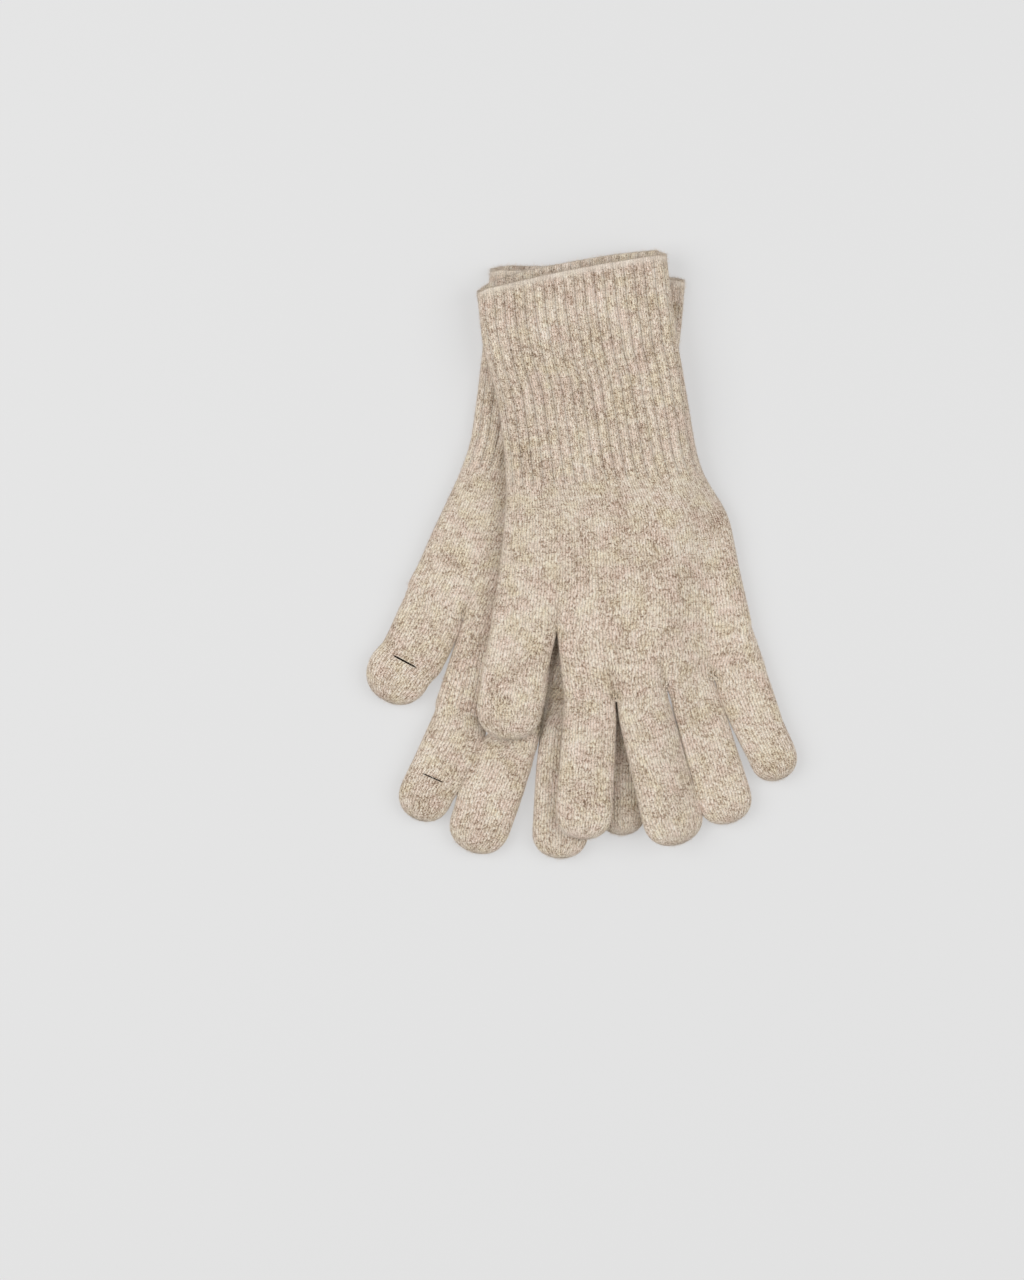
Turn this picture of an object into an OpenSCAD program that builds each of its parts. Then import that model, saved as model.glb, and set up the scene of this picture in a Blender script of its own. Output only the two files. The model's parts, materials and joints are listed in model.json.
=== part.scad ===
// A pair of knitted wool gloves, laid flat one on the other with the palms facing.
// The right glove lies on the surface, palm up. The left glove lies on it, back up,
// and sags to the surface where it reaches past the right one.
// +Z is up, the fingers point along -Y, and both thumbs are on the -X side.

/* [Knit] */
// Thickness of one glove lying flat, with both layers and the space between them
glove_t = 8; // [7.8:0.1:8.6]
// Thickness of one knitted layer
wall = 1.5; // [1.2:0.1:1.7]
// Gap left where a section bends against the next one
bend_gap = 0.4; // [0.3:0.1:0.6]
// Gap left where a covered finger only splays against its glove
splay_gap = 1; // [0.8:0.1:1.2]
// Gap between the two gloves where one lies on the other
glove_gap = 0.5; // [0.4:0.1:1]

/* [Cuff] */
// Length of the rolled edge at the cuff mouth
welt_len = 4; // [3:0.5:6]

/* [Fingers] */
// Thumb, from its bend to its end
thumb_len = 46.5; // [43:0.5:47.5]
// Width of the thumb
thumb_w = 27; // [25:0.5:27.5]
// Left index finger, from its bend to its end
index_len = 59; // [55:1:60]
// Width of an index finger
index_w = 22; // [20:0.5:23]
// Left middle finger, from its bend to its end
middle_len = 64.5; // [60:0.5:65]
// Width of a middle finger
middle_w = 22.5; // [20:0.5:23]
// Ring finger, from its bend to its end
ring_len = 60.5; // [56:0.5:61]
// Width of a ring finger
ring_w = 20.5; // [19:0.5:21]
// Little finger, from its bend to its end
little_len = 48; // [45:0.5:49]
// Width of a little finger
little_w = 18.5; // [17:0.5:19]
// Length of the fingertip cap past the slit, on thumbs and index fingers
cap_len = 19; // [17:0.5:21]

/* [Drape] */
// Distance over which the left glove sags to the surface past the right glove's edge
sag_run = 26; // [22:1:30]

/* [Hidden] */

knit_tan = [0.77, 0.71, 0.64];
rib_tan = [0.74, 0.68, 0.61];
stitch_tan = [0.82, 0.77, 0.70];

// The right glove's index and middle fingers bend past their crotches, clear of the left thumb.
right_index_len = 49.5;
right_middle_len = 49;
right_middle_w = 23.5;

centre = [-0.28, 1.45]; // moves the middle of the pair's footprint to the origin
fit_gap = 0.1;        // between sections that don't bend against each other
rest_gap = 0.3;       // under the left glove where it reaches the surface
crotch_step = 0.3;    // from the thumb's crotch sideways to the knuckle section
thumb_share = 0.26;   // of a line across the hand's end, the part that the thumb takes
crotch_share = 0.005; // of a line across the knuckles, half of each crotch

side_angles = [0, 30, 60]; // of the points that round a tube's side
side_room = 0.01;     // kept between the two rounded sides of a narrow loop
cap_fractions = [0.3, 0.55, 0.75, 0.9, 0.98]; // of a fingertip's round end, at its loops
tip_flatness = 0.6;   // how much a fingertip thins towards its end
tip_space = 0.4;      // least half width and half height of the space inside a fingertip

knot_r = 1.3;
knot_inset = 2.6;     // from a crotch back to its knot
knot_gap = 0.2;       // from the upper layer down to a knot

// Lines across each glove, from the thumb side to the little finger side.
right_trunk = [
    [[-37, 118], [43, 113.5]],
    [[-39, 96], [41.5, 94]],
    [[-42, 69.5], [37.5, 65.5]],
    [[-45, 47], [34.5, 41]],
    [[-48.5, 36.5], [34, 31.5]],
    [[-54, 24.5], [35.5, 20.5]],
    [[-61, 10], [35, 4]],
    [[-66.5, -3], [33, -14.5]]
];
left_trunk = [
    [[-42.3, 108.5], [35, 124]],
    [[-40.3, 88], [39, 92]],
    [[-33.5, 63.5], [44, 63.5]],
    [[-31, 43], [47.5, 43]],
    [[-30, 27.5], [50.5, 33]],
    [[-31, 12], [61.5, 17]],
    [[-33, -6.5], [65.5, -4.5]],
    [[-35, -19], [68.5, -17.5]]
];
wrist = 4; // the trunk line where the rib ends

// The line that the thumb grows from, and the hand's other corner beside it.
right_thumb_line = [[-71.5, -14.5], [-49, -26.5]];
left_thumb_line = [[-36.5, -29], [-10, -32]];
right_palm_corner = [30.5, -35];
left_palm_corner = [71, -30];

// The line that each finger bends on: index, middle, ring, little.
right_knuckles = [
    [[-59.5, -61], [-40, -69.5]],
    [[-38.4, -74.6], [-18.6, -82.4]],
    [[-14, -66], [5, -67.2]],
    [[7, -68.5], [27, -68.3]]
];
left_knuckles = [
    [[-6, -59.7], [14.5, -60.9]],
    [[15, -61.5], [36, -56.5]],
    [[36.5, -57], [55.5, -51.5]],
    [[56.6, -53.6], [76.4, -45.9]]
];

// The right glove's edge on the little finger side, as [y, x], which the left glove sags from.
right_edge = [
    [-68, 29], [-35, 31], [-15, 33], [4, 35], [20, 35.5], [41, 34.5], [65, 37.5], [94, 41.5],
    [115, 43]
];

function mix(a, b, t) = a + (b - a) * t;
function smooth(t) = let (c = min(1, max(0, t))) c * c * (3 - 2 * c);
function unit(v) = v / norm(v);

// Height of a glove's underside: 0 for the right one, and the sag for the left one.
function sag(x, y) =
    let (down = smooth((x - lookup(y, right_edge)) / sag_run))
    mix(glove_t + glove_gap, rest_gap, down);
function under(x, y, left) = left ? sag(x, y) : 0;

// A line across is a list of [s, x, y], with s from 0 at the thumb side to 1.
function straight(pair) = [[0, pair[0].x, pair[0].y], [1, pair[1].x, pair[1].y]];
function at(line, s) = [
    lookup(s, [for (p = line) [p[0], p[1]]]),
    lookup(s, [for (p = line) [p[0], p[2]]])
];
function line_width(line) = norm(at(line, 1) - at(line, 0));

// One closed loop round a flattened tube on a line across: thickness t, held in by inset.
function loop(line, t, inset, cuts, left) =
    let (
        width = line_width(line),
        rise = t / 2 - inset,
        run = min(rise, width / 2 - inset - side_room),
        near = [for (a = side_angles) [(inset + run * (1 - cos(a))) / width, rise * sin(a)]],
        turn = (inset + run) / width,
        flat = [turn, each cuts, 1 - turn],
        top = concat(
            near, [for (s = flat) [s, rise]],
            [for (i = [len(near) - 1:-1:0]) [1 - near[i][0], near[i][1]]]
        ),
        bottom = [for (i = [len(top) - 2:-1:1]) [top[i][0], -top[i][1]]]
    )
    [for (q = concat(top, bottom))
        let (p = at(line, q[0]))
        [p.x + centre.x, p.y + centre.y, under(p.x, p.y, left) + glove_t / 2 + q[1]]];

// A shell from loops outside and inside. The far end is open, or closed for a fingertip.
module shell(outer, inner, closed) {
    n = len(outer[0]);
    rings = len(outer);
    half = rings * n;
    last = (rings - 1) * n;
    function side(k, i) = let (a = k * n + i, b = k * n + (i + 1) % n) [a, b, b + n, a + n];
    function split(q) = [[q[0], q[1], q[2]], [q[0], q[2], q[3]]];
    function flip(f) = [for (i = [len(f) - 1:-1:0]) f[i]];
    skin = [for (k = [0:rings - 2], i = [0:n - 1]) each split(side(k, i))];
    lining = [for (f = skin) flip([for (i = f) i + half])];
    mouth = [for (i = [0:n - 1]) let (j = (i + 1) % n) each split([i, i + half, j + half, j])];
    rim = [for (i = [0:n - 1]) let (j = (i + 1) % n)
        each split([last + i, last + j, last + j + half, last + i + half])];
    nose = [for (i = [1:n - 2]) [last, last + i, last + i + 1]];
    pocket = [for (f = nose) flip([for (i = f) i + half])];
    faces = concat(skin, lining, mouth, closed ? concat(nose, pocket) : rim);
    polyhedron(points = concat([for (l = outer) each l], [for (l = inner) each l]),
        faces = [for (f = faces) flip(f)], convexity = 6);
}

// A section of the trunk: a tube through lines across, open at both ends.
module section(lines, cuts, left) {
    shell([for (l = lines) loop(l, glove_t, 0, cuts, left)],
        [for (l = lines) loop(l, glove_t, wall, cuts, left)], false);
}

// The line that lies d further along than a pair of points, square to it.
function onward(pair, d) =
    let (across = unit(pair[1] - pair[0]), ahead = [across.y, -across.x])
    [pair[0] + ahead * d, pair[1] + ahead * d];

function between(a, b, t) = [mix(a[0], b[0], t), mix(a[1], b[1], t)];

// Where each kind of loop has points between its two sides, from 0 to 1 across. A knuckle loop
// has one in the middle of each finger and one on each side of a crotch.
even_cuts = [for (i = [1:7]) i / 8];
hand_cuts = [0.13, thumb_share, 0.38, 0.5, 0.62, 0.74, 0.86];
knuckle_cuts = [
    for (i = [1:3]) each [(i - 0.5) / 4, i / 4 - crotch_share, i / 4 + crotch_share],
    3.5 / 4
];
stall_cuts = [0.5];

module cuff_welt(trunk, left) {
    f = welt_len / norm(trunk[1][0] - trunk[0][0]);
    section([straight(trunk[0]), straight(between(trunk[0], trunk[1], f))], even_cuts, left);
}

module cuff(trunk, left) {
    f = (welt_len + fit_gap) / norm(trunk[1][0] - trunk[0][0]);
    section([
        straight(between(trunk[0], trunk[1], f)),
        for (i = [1:wrist - 1]) straight(trunk[i]),
        straight(onward(trunk[wrist], -bend_gap))
    ], even_cuts, left);
}

module hand_body(trunk, thumb_line, corner, left) {
    near = thumb_line[0];
    crotch = thumb_line[1];
    end = [[0, near.x, near.y], [thumb_share, crotch.x, crotch.y], [1, corner.x, corner.y]];
    section([for (i = [wrist:len(trunk) - 1]) straight(trunk[i]), end], hand_cuts, left);
}

module knuckle_body(thumb_line, corner, knuckles, left) {
    start = [thumb_line[1] + [crotch_step, 0], corner];
    ends = [for (i = [0:3], e = [0, 1])
        let (inward = (e == 0) ? (i == 0 ? 0 : crotch_share) : (i == 3 ? 0 : -crotch_share))
        [(i + e) / 4 + inward, knuckles[i][e].x, knuckles[i][e].y]];
    middle = [for (p = ends)
        let (q = mix(start[0], start[1], p[0])) [p[0], (q.x + p[1]) / 2, (q.y + p[2]) / 2]];
    section([straight(onward(start, fit_gap)), middle, ends], knuckle_cuts, left);
}

// Half the width of a stall that is size [length, width], s along it from its base line.
function stall_half(base, size, s) =
    let (r = size[1] / 2, body = size[0] - r)
    s <= body ? mix(line_width(straight(base)) / 2, r, smooth(s / body))
    : r * sqrt(max(0, 1 - pow((s - body) / r, 2)));

function stall_line(base, size, s, half) =
    let (moved = onward(base, s), mid = (moved[0] + moved[1]) / 2, across = unit(base[1] - base[0]))
    straight([mid - across * half, mid + across * half]);

// A knitted tube that grows square from a base line, from distance a to distance b.
module stall(base, size, a, b, left) {
    r = size[1] / 2;
    body = size[0] - r;
    closed = b >= size[0];
    plain = concat([a], [for (k = [1:3]) mix(a, min(b, body), k / 3)]);
    tip = closed ? [for (f = cap_fractions) body + f * r] : [];
    function thick(s) =
        glove_t * (s <= body ? 1 : sqrt(1 - tip_flatness * pow((s - body) / r, 2)));
    function inner_s(s) = s <= body ? s : body + (s - body) * (r - wall) / r;
    outer = [for (s = concat(plain, tip))
        loop(stall_line(base, size, s, stall_half(base, size, s)), thick(s), 0, stall_cuts, left)];
    inner = [for (s = concat(plain, tip))
        loop(stall_line(base, size, inner_s(s), max(stall_half(base, size, s), wall + tip_space)),
            max(thick(s), 2 * (wall + tip_space)), wall, stall_cuts, left)];
    shell(outer, inner, closed);
}

module plain_stall(base, size, left, gap = bend_gap) {
    stall(base, size, gap, size[0], left);
}

module stall_before_slit(base, size, left) {
    stall(base, size, bend_gap, size[0] - cap_len, left);
}

module fingertip_cap(base, size, left) {
    stall(base, size, size[0] - cap_len + bend_gap, size[0], left);
}

// Yarn knots that close the crotches, each a dome on the inside of the upper layer.
module crotch_stitches(thumb_line, knuckles, left) {
    spots = concat(
        [thumb_line[1] + [0, knot_inset]],
        [for (i = [0:2]) let (a = knuckles[i][1], b = knuckles[i + 1][0])
            [(a.x + b.x) / 2, max(a.y, b.y) + knot_inset]]
    );
    for (p = spots) {
        drop = under(p.x - knot_r, p.y, left) - under(p.x + knot_r, p.y, left);
        inside = under(p.x, p.y, left) + glove_t - wall - knot_gap;
        translate([p.x + centre.x, p.y + centre.y, inside])
            rotate([0, atan(drop / (2 * knot_r)), 0])
                intersection() {
                    sphere(r = knot_r, $fn = 24);
                    translate([0, 0, -knot_r]) cube(2 * knot_r, center = true);
                }
    }
}

function stall_size(name, left) =
    name == "thumb" ? [thumb_len, thumb_w]
    : name == "index" ? [left ? index_len : right_index_len, index_w]
    : name == "middle" ? (left ? [middle_len, middle_w] : [right_middle_len, right_middle_w])
    : name == "ring" ? [ring_len, ring_w]
    : [little_len, little_w];

color(rib_tan) cuff_welt(right_trunk, false);  // right_cuff_welt
color(rib_tan) cuff(right_trunk, false);  // right_cuff
color(knit_tan) hand_body(right_trunk, right_thumb_line, right_palm_corner, false);  // right_hand_body
color(knit_tan) knuckle_body(right_thumb_line, right_palm_corner, right_knuckles, false);  // right_knuckle_body
color(stitch_tan) crotch_stitches(right_thumb_line, right_knuckles, false);  // right_crotch_stitches
color(knit_tan) stall_before_slit(right_thumb_line, stall_size("thumb", false), false);  // right_thumb
color(knit_tan) fingertip_cap(right_thumb_line, stall_size("thumb", false), false);  // right_thumb_tip
color(knit_tan) stall_before_slit(right_knuckles[0], stall_size("index", false), false);  // right_index
color(knit_tan) fingertip_cap(right_knuckles[0], stall_size("index", false), false);  // right_index_tip
color(knit_tan) plain_stall(right_knuckles[1], stall_size("middle", false), false);  // right_middle
color(knit_tan) plain_stall(right_knuckles[2], stall_size("ring", false), false, splay_gap);  // right_ring
color(knit_tan) plain_stall(right_knuckles[3], stall_size("little", false), false, splay_gap);  // right_little
color(rib_tan) cuff_welt(left_trunk, true);  // left_cuff_welt
color(rib_tan) cuff(left_trunk, true);  // left_cuff
color(knit_tan) hand_body(left_trunk, left_thumb_line, left_palm_corner, true);  // left_hand_body
color(knit_tan) knuckle_body(left_thumb_line, left_palm_corner, left_knuckles, true);  // left_knuckle_body
color(stitch_tan) crotch_stitches(left_thumb_line, left_knuckles, true);  // left_crotch_stitches
color(knit_tan) stall_before_slit(left_thumb_line, stall_size("thumb", true), true);  // left_thumb
color(knit_tan) fingertip_cap(left_thumb_line, stall_size("thumb", true), true);  // left_thumb_tip
color(knit_tan) stall_before_slit(left_knuckles[0], stall_size("index", true), true);  // left_index
color(knit_tan) fingertip_cap(left_knuckles[0], stall_size("index", true), true);  // left_index_tip
color(knit_tan) plain_stall(left_knuckles[1], stall_size("middle", true), true);  // left_middle
color(knit_tan) plain_stall(left_knuckles[2], stall_size("ring", true), true);  // left_ring
color(knit_tan) plain_stall(left_knuckles[3], stall_size("little", true), true);  // left_little
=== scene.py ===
"""A pair of knitted wool gloves, laid one on the other and seen from straight above.

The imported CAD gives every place: where each section starts and ends, how wide it is and where
it bends. Each section is rebuilt here as a puffed, flattened tube of knitted cloth. A tube is
made of rows that run across the glove, and a row is a closed loop: its upper layer, then its
lower layer back again.
"""
import json
import math

import bpy
import numpy as np
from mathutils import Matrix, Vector


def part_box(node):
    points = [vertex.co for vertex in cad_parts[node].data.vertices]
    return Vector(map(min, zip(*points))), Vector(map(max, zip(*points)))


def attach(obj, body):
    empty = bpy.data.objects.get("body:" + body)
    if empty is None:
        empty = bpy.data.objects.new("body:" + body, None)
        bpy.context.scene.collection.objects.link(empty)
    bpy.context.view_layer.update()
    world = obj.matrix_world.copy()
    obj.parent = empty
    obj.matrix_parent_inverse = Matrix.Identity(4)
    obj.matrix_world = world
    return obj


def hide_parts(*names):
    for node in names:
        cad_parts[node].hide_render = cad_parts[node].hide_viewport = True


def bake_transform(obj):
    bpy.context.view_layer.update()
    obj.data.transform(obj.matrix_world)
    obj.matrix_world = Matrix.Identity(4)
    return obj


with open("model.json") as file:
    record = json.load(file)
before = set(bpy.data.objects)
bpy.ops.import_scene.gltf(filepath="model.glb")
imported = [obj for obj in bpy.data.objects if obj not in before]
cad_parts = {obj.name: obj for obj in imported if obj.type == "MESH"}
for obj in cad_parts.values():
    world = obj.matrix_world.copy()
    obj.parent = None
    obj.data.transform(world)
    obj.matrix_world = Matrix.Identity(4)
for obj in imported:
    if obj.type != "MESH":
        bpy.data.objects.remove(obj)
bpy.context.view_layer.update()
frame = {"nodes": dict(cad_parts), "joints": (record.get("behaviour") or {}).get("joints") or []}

MM = 0.001
FINGERS = ("index", "middle", "ring", "little")
RNG = np.random.default_rng(11)

# Cloth
Z = np.array([0, 0, 1.0])
GLOVE_T = 8.0 * MM       # a glove lying flat, both layers
GLOVE_GAP = 0.5 * MM     # between the two gloves
REST_GAP = 0.3 * MM      # under the left glove where it reaches the surface
SAG_RUN = 26 * MM        # over which the left glove sags past the right one
ROUND = 9 * MM           # width of a tube's rounded side
WALL = 1.6 * MM          # thickness of one layer at the cuff mouth
PINCH = 1.3 * MM         # half thickness where a crotch is closed
EDGE = 0.2 * MM          # half thickness at a tube's very side
PROUD = 0.8 * MM         # how far the soft cloth stands out past the CAD's side
SWOLLEN = 0.35 * MM      # how uneven the upper layer is
PLUMP = 2.4              # of a side's rounding, 2 being an ellipse

# Knit
WALE = 1.25 * MM         # pitch of the columns of stitches
COURSE = 0.95 * MM       # pitch of the rows of stitches
RIBS = 19                # ribs across one layer of a cuff
RIB_DEPTH = 0.85 * MM
WALES_PER_RIB = 4
HAND_WALES = 82
ROW_STEP = 1.1 * MM      # mesh rows along a glove
CUFF_PLACES = 230        # mesh places across a layer of a cuff
HAND_PLACES = (46, 96)   # across the thumb's part of the hand, and across the rest
FINGER_PLACES = 34       # across each finger's part of the knuckles
CROTCH_PLACES = 3        # across each crotch between them
STALL_PLACES = 44        # across a stall

# Hand
THUMB_SHARE = 0.26       # of the hand's end, the part that the thumb takes
CROTCH_SHARE = 0.005     # of the knuckle line, half of each crotch
JOIN_RUN = 15 * MM       # over which the hand's sides meet the thumb and the palm line
BEND_RUN = 34 * MM       # over which rows turn to the thumb and palm lines
PINCH_RUN = 20 * MM      # over which a crotch closes

# Cuff
CORNER = 0.5 * MM        # how far a cuff's corners are rounded back
CORNER_WIDE = 4 * MM     # how far across a rounded corner reaches
CORNER_DEEP = 5 * MM     # how far along it reaches
BOW = 1.1 * MM           # how far the middle of a cuff's mouth stands out
BOW_DEEP = 20 * MM       # how far along that reaches
LAP_DEEP = 25 * MM       # how far along the lower layer's lap reaches
WELT = 4 * MM            # how much of the cuff's outside is the welt's
LINING = 45 * MM         # how deep the cuff's inside is modelled
LINING_RIBS = -0.4       # how far the ribs stand out inside, where they show as furrows
ROLL_BULGE = 0.25 * MM   # how far the rolled edge is fuller than the wall
ROLL_OUT = WALL * 0.55   # how far it stands out of the mouth
HIGHLIGHT_OUTSIDE = 2.6 * MM  # how far the painted highlight on the rolled edge reaches on the outside
HIGHLIGHT_INSIDE = 0.8 * MM   # how far that painted highlight reaches inside
RIBS_FROM = 3.5 * MM     # over which the ribs rise, past the rolled edge
RIBS_TO = 9 * MM         # over which they end before the wrist
RIBS_SIDE = 14 * MM      # over which they end towards a cuff's side
RIBS_UNEVEN = 0.45       # of their height

# Stalls
COVERED = ("right_ring", "right_little")     # they lie under the left glove, and only shift
TIP_FROM = 0.985         # of the way to a stall's furthest point, where its end is taken
RADIUS_AT = 0.75         # of its length, where its end's radius is taken
TIP_POWER = 2.25         # of a fingertip's rounding, 2 being a circle
TIP_THINNER = 0.86       # how much of its thickness a fingertip loses, with the rounding's power
STALL_RUN = 9 * MM       # over which a stall's inner sides grow to their full width
THUMB_BITE = 1.6 * MM    # how far a thumb narrows on its inner side
BITE_RUN = 22 * MM       # over which it widens again
BITE_FROM = 0.6          # of that run, how far along the thumb it starts to
BASE_LAP = 1.6 * MM      # how far a stall starts inside the hand
TUCKED_IN = 0.3 * MM     # how much thinner it is there
CLOSED_RUN = 7 * MM      # over which a stall's closed inner sides open
SLIT = (0.25, 0.68)      # where a fingertip slit starts and ends, across the stall
SLIT_END = 0.06          # over which it closes at both ends
SLIT_RUN = 2.5 * MM      # how far from the slit its edges are lifted
SLIT_GAP = 0.8 * MM      # how far it stands open
INDEX_GAP = 0.7          # of that at an index finger
LIP = 0.35 * MM          # how far its near edge stands above its far edge, halved
GROOVE = 0.3 * MM        # how deep the fold beside an index slit is
STALL_KNIT = (7, 3)      # the wale and course that a stall's pattern starts at

# Fibres and yarn
FIBRES_PER_CM2 = 40
FIBRE_LONG = 2.8 * MM
SIDE_FIBRES = 7          # how much thicker the fibres stand on the sides than on top
STITCH = 2.0 * MM        # half the length of a crotch stitch
# Each crossing stitch's turn, and how many mm back from the hand's end it lies
STITCHES = ((0.9, 1.7), (-0.8, 2.5), (0.3, 0.3))
YARN = 0.55 * MM
YARN_UP = 0.3 * MM       # its middle's height over the cloth


def smooth(t):
    t = np.clip(t, 0.0, 1.0)
    return t * t * (3 - 2 * t)


def mix(a, b, t):
    return a + (b - a) * t


def unit(v):
    return np.asarray(v, float) / np.linalg.norm(v)


# ---------------------------------------------------------------- places from the CAD

def edges_of(names):
    """The edges of some CAD nodes' triangles, as an (n, 2, 3) array."""
    found = []
    for name in names:
        mesh = frame["nodes"][name].data
        co = np.array([v.co for v in mesh.vertices], float)
        pairs = np.array([e.vertices[:] for e in mesh.edges])
        found.append(co[pairs])
    return np.concatenate(found)


def silhouette(names, origin, ahead, distances):
    """Lowest and highest place across, in plan, at distances from origin along ahead."""
    across = np.array([-ahead[1], ahead[0]])
    edges = edges_of(names)[:, :, :2] - np.asarray(origin)[:2]
    along = edges @ ahead
    side = edges @ across
    low, high = [], []
    for d in distances:
        crossing = (along[:, 0] - d) * (along[:, 1] - d) <= 0
        a, b = along[crossing, 0], along[crossing, 1]
        gap = np.where(np.abs(b - a) < 1e-9, 1, b - a)
        t = np.where(np.abs(b - a) < 1e-9, 0, (d - a) / gap)
        x = mix(side[crossing, 0], side[crossing, 1], t)
        low.append(x.min() if len(x) else np.nan)
        high.append(x.max() if len(x) else np.nan)
    filled = []
    for values in (np.array(low), np.array(high)):
        known = ~np.isnan(values)
        filled.append(np.interp(distances, np.asarray(distances)[known], values[known]))
    return filled


def corner(node, way):
    """The plan point of a CAD node that lies furthest in a direction."""
    co = np.array([v.co[:2] for v in frame["nodes"][node].data.vertices], float)
    return co[np.argmax(co @ np.asarray(way, float))]


def joint(name):
    return next(j for j in frame["joints"] if j["name"] == name)


def soften(values, reach):
    """A running mean that keeps the two ends where they are."""
    kernel = np.hanning(2 * reach + 3)[1:-1]
    kernel /= kernel.sum()
    padded = np.concatenate([2 * values[0] - values[reach:0:-1], values,
                             2 * values[-1] - values[-2:-reach - 2:-1]])
    return np.convolve(padded, kernel, "valid")


def waves(count, short, long, seed):
    """Smooth noise on the plan: a sum of sine waves between two wavelengths, from -1 to 1."""
    rng = np.random.default_rng(seed)
    length = np.exp(rng.uniform(math.log(short), math.log(long), count))
    turn = rng.uniform(0, 2 * math.pi, count)
    phase = rng.uniform(0, 2 * math.pi, count)
    kx = 2 * math.pi * np.cos(turn) / length
    ky = 2 * math.pi * np.sin(turn) / length

    def field(x, y):
        total = sum(np.sin(x * a + y * b + p) for a, b, p in zip(kx, ky, phase))
        return total / math.sqrt(count)
    return field


# The right glove's far edge in plan, from its welt to 20 mm before its knuckles end
RIGHT_TRUNK = ["right_cuff_welt", "right_cuff", "right_hand_body", "right_knuckle_body"]
edge_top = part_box("right_cuff_welt")[0].y
edge_y = np.arange(edge_top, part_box("right_knuckle_body")[0].y + 20 * MM, -3 * MM)
edge_x = silhouette(RIGHT_TRUNK, (0, 0), np.array([0.0, -1.0]), -edge_y)[1]
edge_x = soften(edge_x, 4)


def under(x, y, left):
    """Height of a glove's underside, which sags past the right glove's far edge."""
    if not left:
        return np.zeros_like(x)
    past = x - np.interp(y, edge_y[::-1], edge_x[::-1])
    return mix(GLOVE_T + GLOVE_GAP, REST_GAP, smooth(past / SAG_RUN))


# ---------------------------------------------------------------- cloth tubes

def side_profile(e):
    """How full a tube is at distance e from its side, from 0 to 1."""
    t = 1 - np.clip(e / ROUND, 0, 1)
    return (1 - t ** PLUMP) ** (1 / PLUMP)


class Tube:
    """Rows of closed loops, with the knit's own coordinates at every point."""

    def __init__(self, left):
        self.left = left
        self.rows = []
        self.knit = []
        self.ribbed = []

    def add(self, xy, top, bottom, wale, course, lap=None, ribbed=0.0, edge_highlight=0.0):
        """Adds a row: its plan points xy from side to side, with the half thickness above and
        below, the wale and the course at each of them.

        The wales are spread again by the length of cloth, which climbs at both sides. lap moves the
        lower layer in plan, ribbed is how far the ribs stand out, and edge_highlight is how much
        painted highlight a row carries at the cuff's rolled edge, a quarter of it on the lower
        layer.
        """
        x, y = xy[:, 0], xy[:, 1]
        mid = under(x, y, self.left) + GLOVE_T / 2
        swell = SWELL[self.left](x, y) * SWOLLEN * np.clip(top / (GLOVE_T / 2), 0, 1)
        upper = np.stack([x, y, mid + top + swell], 1)
        lower = np.stack([x, y, mid - bottom], 1)
        if lap is not None:
            lower[:, :2] += lap
        lower = lower[::-1]
        self.rows.append(np.concatenate([upper, lower]))
        steps = np.linalg.norm(np.diff(upper, axis=0), axis=1)
        flat = np.linalg.norm(np.diff(xy, axis=0), axis=1).sum()
        across = np.concatenate([[0], np.cumsum(steps)]) / max(flat, EDGE)
        wale = wale[0] + (wale[-1] - wale[0]) * across
        around = np.concatenate([wale, 2 * wale[-1] - wale[::-1]])
        along = np.concatenate([course, course[::-1]])
        # painted highlight at the cuff's rolled edge: full on the upper layer, a quarter of it on
        # the lower one
        highlight_share = np.concatenate([np.full(len(x), edge_highlight), np.full(len(x), edge_highlight * 0.25)])
        self.knit.append(np.stack([around, along, highlight_share], 1))
        ribbed = ribbed * np.ones(len(x))
        self.ribbed.append(np.concatenate([ribbed, ribbed[::-1]]))


UNEVEN = waves(10, 14 * MM, 50 * MM, 9)      # of the ribs' depth
SWELL = {True: waves(14, 16 * MM, 60 * MM, 5), False: waves(14, 16 * MM, 60 * MM, 6)}


def spread(n):
    """n places from 0 to 1, closer together near both ends."""
    even = np.linspace(0, 1, n)
    return mix(even, 0.5 - 0.5 * np.cos(math.pi * even), 0.65)


def grid_faces(rows, loop, first=0):
    """Quads between neighbouring rows of closed loops."""
    k = np.arange(rows - 1)[:, None] * loop + first
    i = np.arange(loop)[None, :]
    j = (i + 1) % loop
    return np.stack([k + i, k + loop + i, k + loop + j, k + j], 2).reshape(-1, 4)


def normals_of(points, loop):
    """Outward normals of a grid of closed loops."""
    p = points.reshape(-1, loop, 3)
    around = np.roll(p, -1, 1) - np.roll(p, 1, 1)
    along = np.gradient(p, axis=0)
    n = np.cross(along, around)
    n /= np.maximum(np.linalg.norm(n, axis=2, keepdims=True), 1e-12)
    return n.reshape(-1, 3)


# Whether a stall's lower and higher side, across, is an outer side of the glove
OPEN = {
    "thumb": (True, False),
    "index": (True, False),
    "middle": (False, False),
    "ring": (False, False),
    "little": (False, True),
}

# How soft stalls lie, in mm from the CAD's sides: the lower side across at both places of
# LAID_AT and where the tip starts, the higher side at the same places, and the end
LAID_AT = (5 * MM, 24 * MM)
LAY = {
    "left_thumb": ((-0.3, -1.4, -1.9), (0, -1.6, -3.2), 1.4),
    "left_middle": ((0, 0, 0), (-0.6, 0, 1.6), 0),
    "left_ring": ((0.6, 0.5, 0), (0, 0.3, 0.8), 0.5),
    "left_little": ((-0.7, -0.2, 0.6), (-0.4, -0.5, 0.4), 0),
    "right_thumb": ((0.6, 2.0, 0.5), (1.0, 0.9, -1.0), 0),
    "right_index": ((1.4, 1.4, 1.0), (2.2, 2.2, 0), 0.3),
    "right_middle": ((-2.0, -1.6, 0), (0, 0.4, 0.5), 0.5),
    "right_ring": ((-1.4, -1.8, -1.4), (0, 0, 0), 0.6),
    "right_little": ((0, 0, 0), (0, 0, 0), 1.4),
}


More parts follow.
